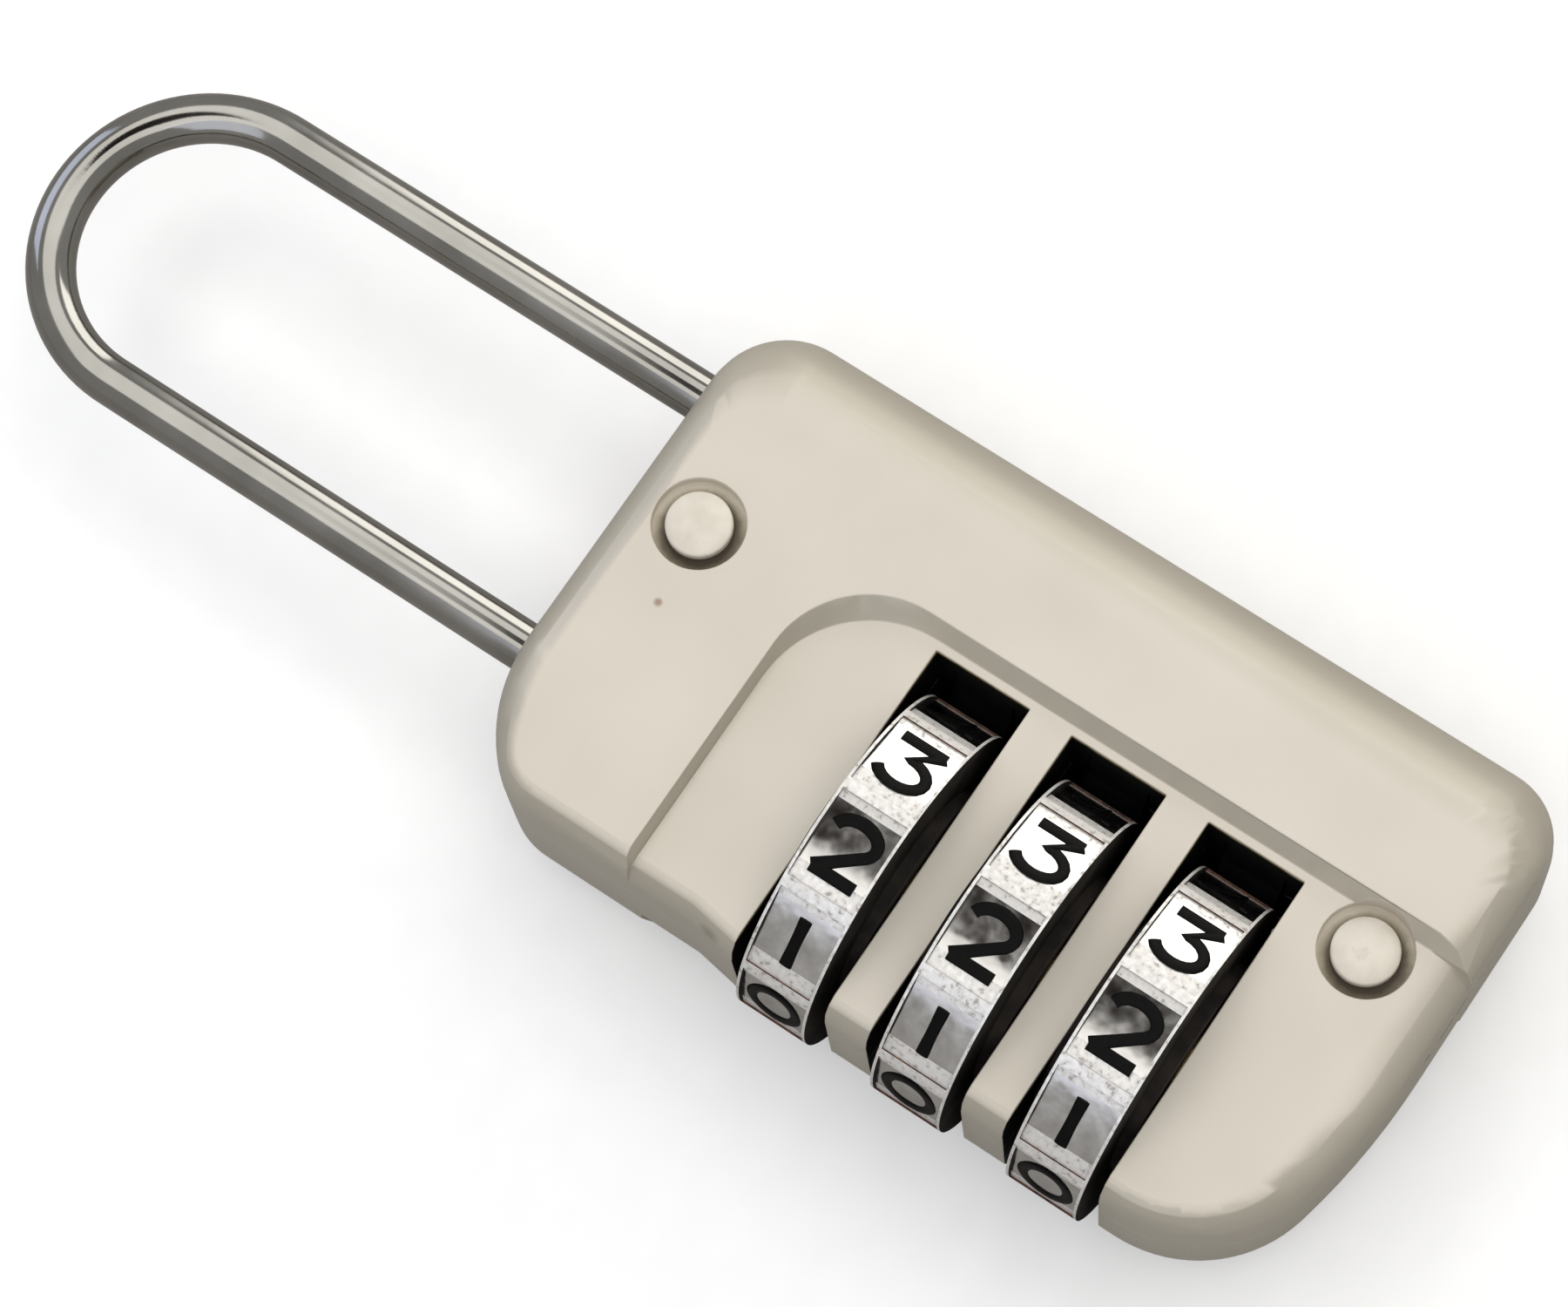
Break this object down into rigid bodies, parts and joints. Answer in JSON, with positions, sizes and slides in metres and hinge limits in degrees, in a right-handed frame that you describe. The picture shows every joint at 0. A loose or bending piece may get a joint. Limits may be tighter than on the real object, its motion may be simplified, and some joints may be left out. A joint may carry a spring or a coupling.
{
  "type": "combination padlock",
  "caption": "Slim padlock with a riveted die-cast case, side-mounted number dials and a thin bent shackle that slides up when the dials are set.",
  "frame": {"origin": "on the back plane that the lock lies on, in the middle of its width above the dials and of its whole length with the shackle closed", "axes": "+Z out of the front face, +Y towards the shackle, +X to the right of the front face; the dials are at -X"},
  "size_m": [0.0291, 0.0812, 0.0173],
  "materials": {
    "case_coating": "satin champagne coating on zinc die casting",
    "rivet_steel": "coated, flattened",
    "plated_shackle": "bright plating",
    "plated_dial": "bright plating, black numerals",
    "turned_brass": "as turned",
    "bright_steel": "as punched or cut",
    "spring_steel": "drawn"
  },
  "bodies": {
    "case": {"front_case": "case_coating", "back_case": "case_coating", "upper_rivet": "rivet_steel", "lower_rivet": "rivet_steel", "stop_washer": "bright_steel", "reset_spring": "spring_steel", "lift_spring": "spring_steel", "spring_guide_pin": "bright_steel", "click_spring_1": "spring_steel", "click_spring_2": "spring_steel", "click_spring_3": "spring_steel"},
    "shackle": {"shackle": "plated_shackle"},
    "dial_1": {"dial_1": "plated_dial"},
    "tumbler_1": {"tumbler_1": "turned_brass"},
    "dial_2": {"dial_2": "plated_dial"},
    "tumbler_2": {"tumbler_2": "turned_brass"},
    "dial_3": {"dial_3": "plated_dial"},
    "tumbler_3": {"tumbler_3": "turned_brass"},
    "reset_washer": {"reset_washer": "bright_steel"}
  },
  "joints": [
    {"name": "shackle_lift", "type": "slide", "parent": "case", "child": "shackle", "axis": [0, 1, 0], "range_m": [0, 0.00765], "deforming": ["lift_spring"]},
    {"name": "dial_1_turn", "type": "hinge", "parent": "case", "child": "dial_1", "pos_m": [-0.0066, -0.0138, 0.0087], "axis": [0, 1, 0], "continuous": true, "deforming": ["click_spring_1"]},
    {"name": "dial_2_turn", "type": "hinge", "parent": "case", "child": "dial_2", "pos_m": [-0.0066, -0.02145, 0.0087], "axis": [0, 1, 0], "continuous": true, "deforming": ["click_spring_2"]},
    {"name": "dial_3_turn", "type": "hinge", "parent": "case", "child": "dial_3", "pos_m": [-0.0066, -0.0291, 0.0087], "axis": [0, 1, 0], "continuous": true, "deforming": ["click_spring_3"]},
    {"name": "tumbler_1_reset", "type": "slide", "parent": "dial_1", "child": "tumbler_1", "axis": [0, -1, 0], "range_m": [0, 0.001], "stiffness_N_per_m": 200, "springref_m": -0.003},
    {"name": "tumbler_2_reset", "type": "slide", "parent": "dial_2", "child": "tumbler_2", "axis": [0, -1, 0], "range_m": [0, 0.001]},
    {"name": "tumbler_3_reset", "type": "slide", "parent": "dial_3", "child": "tumbler_3", "axis": [0, -1, 0], "range_m": [0, 0.001]},
    {"name": "reset_washer_slide", "type": "slide", "parent": "case", "child": "reset_washer", "axis": [0, -1, 0], "range_m": [0, 0.001], "deforming": ["reset_spring"]}
  ],
  "couplings": [
    {"joint": "tumbler_2_reset", "follows": "tumbler_1_reset", "ratio": 1},
    {"joint": "tumbler_3_reset", "follows": "tumbler_1_reset", "ratio": 1},
    {"joint": "reset_washer_slide", "follows": "tumbler_1_reset", "ratio": 1}
  ]
}
